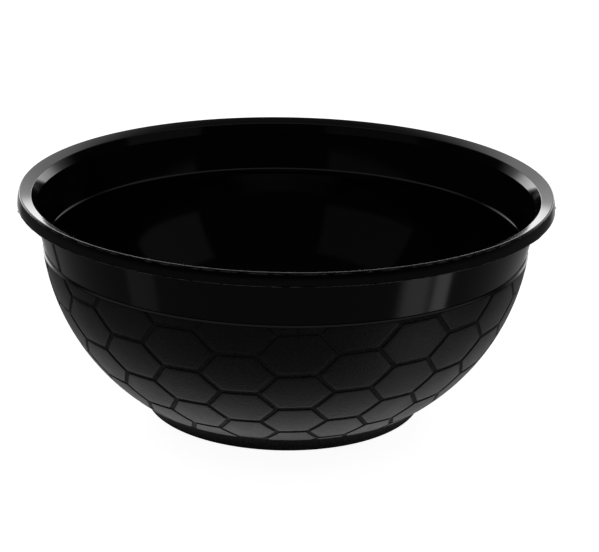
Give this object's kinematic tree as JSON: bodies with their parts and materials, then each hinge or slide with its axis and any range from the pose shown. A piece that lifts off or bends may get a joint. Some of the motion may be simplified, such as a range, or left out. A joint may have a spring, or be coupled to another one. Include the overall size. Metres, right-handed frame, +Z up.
{
  "type": "hair color bowl",
  "caption": "Round open tint bowl with a flared lip, a plain band, a honeycomb grip wall and a standing ring.",
  "frame": {"origin": "centre of the face that the bowl stands on", "axes": "+Z up along the bowl's axis, -Y the side seen in front, +X to the right of it"},
  "size_m": [0.14, 0.14, 0.0595],
  "materials": {
    "smooth_black": "smooth black moulded plastic",
    "grained_charcoal": "fine spark-eroded grain",
    "foot_black": "smooth satin black"
  },
  "bodies": {
    "root": {"rim_lip": "smooth_black", "plain_band": "smooth_black", "bowl_wall": "smooth_black", "bowl_floor": "smooth_black", "foot_ring": "foot_black", "honeycomb_row_1": "grained_charcoal", "honeycomb_row_2": "grained_charcoal", "honeycomb_row_3": "grained_charcoal", "honeycomb_row_4": "grained_charcoal", "honeycomb_row_5": "grained_charcoal"}
  },
  "joints": []
}
